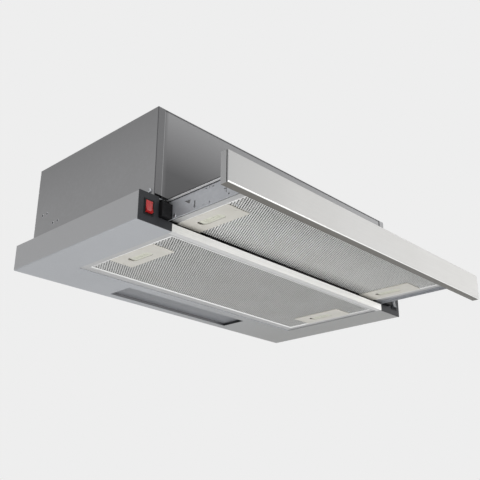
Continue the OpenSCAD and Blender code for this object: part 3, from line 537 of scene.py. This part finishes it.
def frosted_lens():
    """Grey plastic that lets some light through."""
    finish = Finish("lens_plastic", srgb(150, 152, 155), roughness=0.3,
                    Transmission_Weight=0.3, IOR=1.49)
    fine = finish.noise(0.9 * MM, detail=2)
    finish.tint(finish.ramp(finish.noise(60 * MM), 0.35, 0.7), srgb(142, 144, 148))
    return finish.sheen_varies(fine, 0.28, 0.36).relief(fine, 0.015 * MM, 0.3)


def opal_glass():
    """Milky glass of the lamp's bulbs."""
    finish = Finish("bulb_glass", srgb(238, 240, 242), roughness=0.12, Subsurface_Weight=0.3,
                    Subsurface_Scale=4 * MM, Coat_Weight=0.5)
    finish.tint(finish.ramp(finish.noise(20 * MM), 0.4, 0.8), srgb(228, 230, 234))
    return finish.relief(finish.noise(6 * MM), 0.02 * MM, 0.3)


def turned_metal(name, colour, shade, roughness=(0.2, 0.34)):
    """Bare machined metal, slightly uneven in tone and sheen."""
    finish = Finish(name, colour, metallic=0.9, roughness=roughness[0])
    fine = finish.noise(0.8 * MM, detail=3)
    finish.tint(finish.ramp(finish.noise(6 * MM), 0.35, 0.7), shade)
    return finish.sheen_varies(fine, *roughness).relief(fine, 0.02 * MM, 0.3)


def varnished_winding():
    """Copper wires under varnish, along the motor's shaft."""
    finish = Finish("winding_copper", srgb(153, 92, 51), metallic=0.6, roughness=0.3,
                    Coat_Weight=0.5)
    wires = finish.noise(0.9 * MM, stretch=(0.06, 1, 1), detail=1)
    finish.tint(finish.ramp(wires, 0.4, 0.6), srgb(112, 62, 34))
    return finish.relief(wires, 0.3 * MM, 0.8)


# Plain moulded plastics: colour, lighter or darker patches, and what else differs
PLASTICS = {
    "cap_plastic": (srgb(38, 39, 42), srgb(44, 45, 48), {"Specular_IOR_Level": 0.3}),
    "black_nylon": (srgb(13, 13, 14), srgb(20, 20, 21),
                    {"roughness": (0.46, 0.6), "Specular_IOR_Level": 0.25}),
    "grey_rocker": (srgb(70, 72, 76), srgb(84, 86, 90), {"roughness": (0.2, 0.3)}),
    "white_nylon": (srgb(219, 219, 212), srgb(208, 208, 200), {}),
    "handle_plastic": (srgb(206, 203, 195), srgb(199, 196, 187), {}),
    "holder_plastic": (srgb(230, 228, 220), srgb(216, 213, 204), {}),
    "blower_plastic": (srgb(138, 143, 148), srgb(126, 131, 136), {}),
    "collar_plastic": (srgb(43, 45, 48), srgb(52, 54, 58), {}),
    "gland_rubber": (srgb(31, 31, 33), srgb(40, 40, 42), {"roughness": (0.6, 0.75)}),
}

# Machined metals: colour, patches and roughness
METALS = {
    "bright_steel": (srgb(205, 207, 210), srgb(188, 190, 194), (0.2, 0.34)),
    "motor_steel": (srgb(161, 163, 166), srgb(146, 148, 151), (0.3, 0.45)),
    "bush_bronze": (srgb(176, 140, 87), srgb(152, 118, 70), (0.35, 0.5)),
}


def make_finishes():
    """A finish for each material slot of the record, and those of single nodes and new pieces."""
    made = {name: grained_plastic(name, colour, light, **more)
            for name, (colour, light, more) in PLASTICS.items()}
    made |= {name: turned_metal(name, *values) for name, values in METALS.items()}
    return made | {
        "canopy_paint": powder_coat(),
        "housing_steel": housing_steel(),
        "fascia_steel": brushed_fascia(),
        "rail_aluminium": anodised_rail(),
        "red_plastic": red_rocker(),
        "galvanised_steel": slide_steel(),
        "filter_aluminium": filter_metal("filter_aluminium", srgb(208, 208, 206),
                                         srgb(201, 201, 198)),
        # Painted light: the front filter's sheet is a lighter copy of the same aluminium
        "front filter sheet": filter_metal("front_filter_aluminium", srgb(236, 236, 234),
                                           srgb(230, 230, 227)),
        # Painted light and shade: the rear core is lighter and the front core darker
        "rear filter core": mesh_pad("rear_filter_core", srgb(108, 108, 106), srgb(144, 144, 142)),
        "front filter core": mesh_pad("front_filter_core", srgb(74, 74, 73), srgb(128, 128, 126)),
        "filter hem": rolled_hem(),
        "filter frame": filter_border(),
        "latch_plastic": latch("latch_plastic", LATCH_GRIP["front"]),
        "rear latch": latch("rear_latch_plastic", LATCH_GRIP["rear"]),
        "lens_plastic": frosted_lens(),
        "bulb_glass": opal_glass(),
        "winding_copper": varnished_winding(),
    }


# ------------------------------------------------------------------ CAD nodes

SOFTENED = [
    "canopy", "left_side_panel", "right_side_panel", "front_panel", "rear_panel", "top_panel",
    "fascia", "front_rail", "left_end_cap", "right_end_cap", "rear_filter_handles",
    "front_filter_handles", "slide_guides", "switch_bodies", "light_rocker", "fan_rocker",
    "duct_collar",
]
EDGE_WIDTH = 0.22 * MM
WELD_GAP = 0.002 * MM
FLAT_WITHIN = math.radians(0.5)
SHARP_FROM = math.radians(50)


def soften(node):
    """Breaks a node's sharp edges, as folding and moulding do. Its own mesh stays as it is."""
    weld = node.modifiers.new("weld", "WELD")
    weld.merge_threshold = WELD_GAP
    flat = node.modifiers.new("flat faces", "DECIMATE")
    flat.decimate_type = "DISSOLVE"
    flat.angle_limit = FLAT_WITHIN
    bevel = node.modifiers.new("soft edges", "BEVEL")
    bevel.width = EDGE_WIDTH
    bevel.segments = 2
    bevel.limit_method = "ANGLE"
    bevel.angle_limit = SHARP_FROM
    bevel.use_clamp_overlap = True
    bevel.harden_normals = True


def dress_nodes(finishes):
    """Gives each CAD node the finish of its slot, or its own."""
    finish_of = {part["node"]: part["material_slot"] for part in frame["record"]["subparts"]}
    for name in ("rear", "front"):
        finish_of[name + "_filter_core"] = name + " filter core"
        finish_of[name + "_filter_frame"] = "filter frame"
    for side in ("left", "right"):
        finish_of[f"rear_{side}_latch"] = "rear latch"
    for name, node in frame["nodes"].items():
        node.data.materials.clear()
        node.data.materials.append(finishes[finish_of[name]].material)
    for name in SOFTENED:
        soften(frame["nodes"][name])


# ------------------------------------------------------------------ new pieces

# Filter sheets: slits a pitch apart along X in rows along Y, each row shifted by 3/5 of the pitch
SLIT_PITCH, ROW_PITCH = 4.0 * MM, 3.85 * MM
SHIFT, SHIFT_OF = 3, 5
# Where a slit starts and ends in its cell, as shares of it
SLIT_ACROSS = (0.26, 0.76)
SLIT_ALONG = (0.08, 0.92)
# How far a slit's left side is bent up into the filter, and its right side down out of it
LIFT_IN, LIFT_OUT = 0.1 * MM, 0.45 * MM
SHEET_T = 0.3 * MM
SHEET_SINK = 0.1 * MM
FRAME_BORDER_X = 10 * MM
FRAME_BORDER_FRONT = 4 * MM
FRAME_BORDER_REAR = {"rear": 14 * MM, "front": 8 * MM}
TAB_REACH = 4 * MM
HANDLE_SEAT = (34 * MM, 84 * MM)
# Outline of the hem, in mm: outwards from the edge of the slit part, and down from the frame
HEM = [(-1.5, -0.9), (-0.8, -0.55), (-0.2, 0.0), (0.2, 0.35), (0.7, 0.45), (1.1, 0.2), (1.2, -0.3)]

# Screws: the shank, the share of the head's height at its rim, the share of its radius that counts
# as its rim in the frame, and the shares of the head that the cross takes. Each cross is turned by
# so many radians for every corner made before it
SHANK_R = 1.4 * MM
HEAD_RIM, RIM_FROM = 0.35, 0.9
CROSS_ARM, CROSS_HALF, CROSS_DEPTH = 0.58, 0.13, 0.62
CROSS_TURN = 0.7
SCREW_SEGMENTS, RIVET_SEGMENTS = 24, 20

# Rivets: before each handle plate, and low on the drawer's sides. Burrs: round the fixing holes
RIVET_R, RIVET_H = 1.5 * MM, 0.8 * MM
RIVET_OUT, RIVET_AHEAD = 9 * MM, 5.5 * MM
SLIDE_RIVET_R, SLIDE_RIVET_H = 2.9 * MM, 0.6 * MM
SLIDE_RIVET_X = SLIDE_FACE + 0.4 * MM
SLIDE_RIVET_Y, SLIDE_RIVET_Z = (-79 * MM, -26.5 * MM), 17.3 * MM
BURR_H, BURR_W = 0.35 * MM, 0.3 * MM
BURR_SHOULDER = 0.4


def new_piece(name, verts, faces, finish, body):
    """A mesh that rides on a body of the frame and counts under a material slot."""
    data = bpy.data.meshes.new(name)
    data.from_pydata(verts, [], faces)
    data.validate()
    data.materials.append(finish.material)
    piece = bpy.data.objects.new(name, data)
    bpy.context.scene.collection.objects.link(piece)
    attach(piece, body)
    return piece


def handle_plates(name):
    """The middles of a filter's two handle plates, as (x, y), and half their width and length."""
    low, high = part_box(name + "_filter_handles")
    latch_low, latch_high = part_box(name + "_right_latch")
    x, y = (latch_low.x + latch_high.x) / 2, (low.y + high.y) / 2
    return [(-x, y), (x, y)], high.x - x, (high.y - low.y) / 2


def mesh_area(name):
    """The low and high x and y of the slit part of a filter's face."""
    low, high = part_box(name + "_filter_frame")
    return (low.x + FRAME_BORDER_X + MM, high.x - FRAME_BORDER_X - MM,
            low.y + FRAME_BORDER_FRONT + MM, high.y - TAB_REACH - FRAME_BORDER_REAR[name] - MM)


class SlitFace:
    """The corners and faces of a filter's face sheet, a grid of slanting cells in its slit part."""

    def __init__(self, name):
        self.low, self.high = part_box(name + "_filter_mesh")
        self.x, end_x, self.y, end_y = mesh_area(name)
        self.z = self.low.z + SHEET_SINK
        columns = round((end_x - self.x) / SLIT_PITCH)
        self.rows = round((end_y - self.y) / ROW_PITCH)
        self.step, self.rise = (end_x - self.x) / columns, (end_y - self.y) / self.rows
        self.along = Vector((self.step * SHIFT / SHIFT_OF, self.rise, 0))
        self.full = columns * SHIFT_OF
        self.verts, self.faces, self.known = [], [], {}

    def point(self, fifths, j):
        """The corner at a number of fifths of a pitch from the left, on the line below row j."""
        if (fifths, j) not in self.known:
            self.known[fifths, j] = len(self.verts)
            place = (self.x + fifths * self.step / SHIFT_OF, self.y + j * self.rise, self.z)
            self.verts.append(place)
        return self.known[fifths, j]

    def line(self, j, start, end):
        """The corners from start to end, in fifths, on the line below row j, with both its ends."""
        inner = [f for f in range(start, end) if (f - SHIFT * j) % SHIFT_OF == 0 and f > start]
        return [self.point(f, j) for f in (start, *inner, end)]

    def rest(self, j, start, upper_start, end, upper_end):
        """The plain face between whole cells and the slit part's edge, at an end of row j."""
        upper = self.line(j + 1, upper_start, upper_end)
        self.faces.append((*upper, *reversed(self.line(j, start, end))))

    def strand(self, ring, start):
        """The bent faces from the edges of a cell to those of its slit."""
        slit = []
        for u, v in ((0, 0), (1, 0), (1, 1), (0, 1)):
            place = start + Vector((SLIT_ACROSS[u] * self.step, 0, 0)) + SLIT_ALONG[v] * self.along
            place.z += LIFT_IN if u == 0 else -LIFT_OUT
            slit.append(len(self.verts))
            self.verts.append(tuple(place))
        self.faces += [(ring[k], slit[k], slit[k - 3], ring[k - 3]) for k in range(4)]

    def row(self, j, middles, half_x, half_y):
        """The cells of row j, open at the wells of the handle plates and plain behind the plates."""
        first = SHIFT * j % SHIFT_OF
        last = self.full - (self.full - SHIFT * (j + 1)) % SHIFT_OF - SHIFT
        self.rest(j, 0, 0, first, first + SHIFT)
        self.rest(j, last, last + SHIFT, self.full, self.full)
        for fifths in range(first, last, SHIFT_OF):
            above = fifths + SHIFT
            ring = [self.point(fifths, j), self.point(fifths + SHIFT_OF, j),
                    self.point(above + SHIFT_OF, j + 1), self.point(above, j + 1)]
            start = Vector(self.verts[ring[0]])
            centre = start + Vector((self.step, 0, 0)) / 2 + self.along / 2
            away = [(abs(centre.x - x), abs(centre.y - y)) for x, y in middles]
            if any(x < HANDLE_SEAT[0] / 2 - self.step and y < HANDLE_SEAT[1] / 2 - self.rise
                   for x, y in away):
                continue
            if any(x < half_x - self.step / 2 and y < half_y - self.rise / 2 for x, y in away):
                self.faces.append(tuple(reversed(ring)))
            else:
                self.strand(ring, start)

    def border(self):
        """The plain strips from the slit part out to the sheet's own edge."""
        low, high, z = self.low, self.high, self.z
        a, b, c, d = (len(self.verts) + k for k in range(4))
        self.verts += [(low.x, low.y, z), (high.x, low.y, z), (high.x, high.y, z),
                       (low.x, high.y, z)]
        left = (self.point(0, j) for j in range(self.rows, -1, -1))
        right = (self.point(self.full, j) for j in range(self.rows + 1))
        self.faces += [(*self.line(0, 0, self.full), b, a),
                       (d, c, *reversed(self.line(self.rows, 0, self.full))),
                       (a, d, *left), (*right, c, b)]

    def true_faces(self):
        """The faces with each corner once, because a rest that ends in a point has it twice."""
        single = (tuple(dict.fromkeys(face)) for face in self.faces)
        return [face for face in single if len(face) > 2]


def filter_sheet(name, finishes, body):
    """A sheet of slanted, twisted strands in place of the frame's plain one."""
    face = SlitFace(name)
    for j in range(face.rows):
        face.row(j, *handle_plates(name))
    face.border()
    # The front filter takes the lighter copy of the aluminium: painted light
    finish = finishes["front filter sheet" if name == "front" else "filter_aluminium"]
    sheet = new_piece(name + "_filter_sheet", face.verts, face.true_faces(), finish, body)
    thicken = sheet.modifiers.new("sheet", "SOLIDIFY")
    thicken.thickness = SHEET_T
    thicken.offset = -1
    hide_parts(name + "_filter_mesh")


def filter_hem(name, finishes, body):
    """The rolled edge round the slit part of a filter's face."""
    low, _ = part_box(name + "_filter_frame")
    x0, x1, y0, y1 = mesh_area(name)
    corners = [(x0, y0, -1, -1), (x1, y0, 1, -1), (x1, y1, 1, 1), (x0, y1, -1, 1)]
    verts, faces = [], []
    for x, y, out_x, out_y in corners:
        verts += [(x + out_x * d * MM, y + out_y * d * MM, low.z - drop * MM) for d, drop in HEM]
    count = len(HEM)
    for k in range(4):
        n = (k + 1) % 4
        for a in range(count):
            b = (a + 1) % count
            faces.append((k * count + a, k * count + b, n * count + b, n * count + a))
    hem = new_piece(name + "_filter_hem", verts, faces, finishes["filter hem"], body)
    hem.data.shade_smooth()


def islands(node):
    """The separate solids of a node, each as a list of its corners."""
    mesh = frame["nodes"][node].data
    key = [tuple(round(c, 6) for c in v.co) for v in mesh.vertices]
    parent = {k: k for k in key}

    def root(k):
        while parent[k] != k:
            parent[k] = parent[parent[k]]
            k = parent[k]
        return k

    for face in mesh.polygons:
        corners = [key[v] for v in face.vertices]
        for other in corners[1:]:
            parent[root(other)] = root(corners[0])
    found = {}
    for k in parent:
        found.setdefault(root(k), []).append(Vector(k))
    return [found[k] for k in sorted(found)]


def lathe(profile, segments, turn, place, verts, faces):
    """Turns a profile of (radius, height) points about Z, then moves it by turn and place."""
    rings = []
    for radius, height in profile:
        if radius == 0:
            rings.append([len(verts)])
            verts.append(tuple(place + turn @ Vector((0, 0, height))))
            continue
        rings.append(list(range(len(verts), len(verts) + segments)))
        for k in range(segments):
            angle = 2 * math.pi * k / segments
            point = Vector((radius * math.cos(angle), radius * math.sin(angle), height))
            verts.append(tuple(place + turn @ point))
    for lower, upper in zip(rings, rings[1:]):
        for k in range(segments):
            n = (k + 1) % segments
            if len(upper) == 1:
                faces.append((lower[k], lower[n], upper[0]))
            elif len(lower) == 1:
                faces.append((lower[0], upper[n], upper[k]))
            else:
                faces.append((lower[k], lower[n], upper[n], upper[k]))


def quarter(step):
    """The cosine and sine of the angles from 0 to below 90 degrees, a step apart."""
    return [(math.cos(a), math.sin(a)) for a in (math.radians(d) for d in range(0, 90, step))]


def screw_mesh(head_r, head_h, shank_r, shank_l):
    """A pan-head screw with a cross recess, its head standing on z = 0."""
    verts, faces = [], []
    dome = [(head_r * c, head_h * (HEAD_RIM + (1 - HEAD_RIM) * s)) for c, s in quarter(15)]
    shank = [(0, -shank_l), (shank_r, -shank_l + shank_r / 2), (shank_r, 0)]
    profile = [*shank, (head_r, 0), *dome, (0, head_h)]
    lathe(profile, SCREW_SEGMENTS, Matrix.Identity(3), Vector(), verts, faces)
    body = bpy.data.meshes.new("screw")
    body.from_pydata(verts, [], faces)
    cutter = bmesh.new()
    arm, half, depth = head_r * CROSS_ARM, head_r * CROSS_HALF, head_h * CROSS_DEPTH
    for size in ((2 * arm, 2 * half), (2 * half, 2 * arm)):
        cube = bmesh.ops.create_cube(cutter, size=1)["verts"]
        bmesh.ops.scale(cutter, vec=(*size, 2 * depth), verts=cube)
        bmesh.ops.translate(cutter, vec=(0, 0, head_h), verts=cube)
    cross = bpy.data.meshes.new("cross")
    cutter.to_mesh(cross)
    cutter.free()
    screw, cross = bpy.data.objects.new("screw", body), bpy.data.objects.new("cross", cross)
    for piece in (screw, cross):
        bpy.context.scene.collection.objects.link(piece)
    cut = screw.modifiers.new("recess", "BOOLEAN")
    cut.operation, cut.solver, cut.object, cut.use_self = "DIFFERENCE", "EXACT", cross, True
    graph = bpy.context.evaluated_depsgraph_get()
    made = bpy.data.meshes.new_from_object(screw.evaluated_get(graph))
    bpy.data.objects.remove(screw)
    bpy.data.objects.remove(cross)
    return made


def measure_screw(corners):
    """The seat of a plain screw's head, the way it faces, its radius and height, and the shank."""
    low = Vector([min(c[k] for c in corners) for k in range(3)])
    high = Vector([max(c[k] for c in corners) for k in range(3)])
    size, seat = high - low, (low + high) / 2
    # a screw is round across its axis, and the rim of its head is its widest part
    axis = min(range(3), key=lambda k: abs(size[(k + 1) % 3] - size[(k + 2) % 3]))
    head_r = size[(axis + 1) % 3] / 2
    across = [k for k in range(3) if k != axis]
    rim = [c[axis] for c in corners
           if sum((c[k] - seat[k]) ** 2 for k in across) > (RIM_FROM * head_r) ** 2]
    sign = 1 if sum(rim) / len(rim) > seat[axis] else -1
    seat[axis] = min(rim, key=lambda c: sign * c)
    head_h = abs((high if sign > 0 else low)[axis] - seat[axis])
    towards = Vector([sign if k == axis else 0 for k in range(3)])
    return seat, towards, head_r, head_h, size[axis] - head_h


def cross_head_screws(finishes):
    """The housing's screws with cross-recessed heads, each where the frame has a plain one."""
    verts, faces, pattern = [], [], None
    for corners in islands("housing_screws"):
        seat, towards, head_r, head_h, shank_l = measure_screw(corners)
        if pattern is None:
            pattern = screw_mesh(head_r, head_h, SHANK_R, shank_l)
        spin = Matrix.Rotation(len(verts) * CROSS_TURN, 3, "Z")
        turn = towards.to_track_quat("Z", "Y").to_matrix() @ spin
        first = len(verts)
        verts += [tuple(seat + turn @ v.co) for v in pattern.vertices]
        faces += [tuple(first + i for i in face.vertices) for face in pattern.polygons]
    screws = new_piece("cross_head_screws", verts, faces, finishes["bright_steel"], "hood")
    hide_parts("housing_screws")


def domes(name, places, towards, radius, height, finishes, body):
    """Small steel rivet heads at the given places."""
    verts, faces = [], []
    turn = Vector(towards).to_track_quat("Z", "Y").to_matrix()
    dome = [(radius * c, height * s) for c, s in quarter(18)]
    profile = [(0, -height / 2), (radius, -height / 2), *dome, (0, height)]
    for place in places:
        lathe(profile, RIVET_SEGMENTS, turn, Vector(place), verts, faces)
    rivets = new_piece(name, verts, faces, finishes["bright_steel"], body)
    rivets.data.shade_smooth()


def filter_rivets(name, finishes, body):
    """A rivet in front of each handle plate."""
    low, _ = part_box(name + "_filter_mesh")
    middles, _, half_y = handle_plates(name)
    places = [(x + math.copysign(RIVET_OUT, x), y - half_y - RIVET_AHEAD, low.z - RIVET_H / 3)
              for x, y in middles]
    domes(name + "_filter_rivets", places, (0, 0, -1), RIVET_R, RIVET_H, finishes, body)


def slide_rivets(finishes):
    """The domed rivets low on each drawer side, near the canopy's front."""
    for side, way in (("left", -1), ("right", 1)):
        places = [(way * SLIDE_RIVET_X, y, SLIDE_RIVET_Z) for y in SLIDE_RIVET_Y]
        domes(side + "_slide_rivets", places, (way, 0, 0), SLIDE_RIVET_R, SLIDE_RIVET_H,
              finishes, "drawer")


def hole_burrs(finishes):
    """The thin raised edge that punching leaves round each fixing hole in the sides."""
    verts, faces = [], []
    for mount in frame["record"]["mounts"]:
        if mount["kind"] != "bolt_pattern":
            continue
        turn = Vector(mount["axis"]).to_track_quat("Z", "Y").to_matrix()
        radius = mount["dims"]["hole_r_mm"] * MM
        rim = [(radius, 0), (radius, BURR_H), (radius + BURR_W, BURR_H * BURR_SHOULDER),
               (radius + 2 * BURR_W, 0)]
        for share in (-0.5, 0.5):
            shift = Vector((0, share * mount["dims"]["spacing_x_mm"] * MM, 0))
            lathe(rim, SCREW_SEGMENTS, turn, Vector(mount["pos_m"]) + shift, verts, faces)
    burrs = new_piece("fixing_hole_burrs", verts, faces, finishes["bright_steel"], "hood")
    burrs.data.shade_smooth()


# ------------------------------------------------------------------ the scene

make_camera()
make_world()
make_floor()
for lamp in LAMPS:
    area_lamp(*lamp)
bpy.context.scene.view_settings.view_transform = "Standard"
finishes = make_finishes()
dress_nodes(finishes)
for name, body in (("rear", "hood"), ("front", "drawer")):
    filter_sheet(name, finishes, body)
    filter_hem(name, finishes, body)
    filter_rivets(name, finishes, body)
cross_head_screws(finishes)
slide_rivets(finishes)
hole_burrs(finishes)
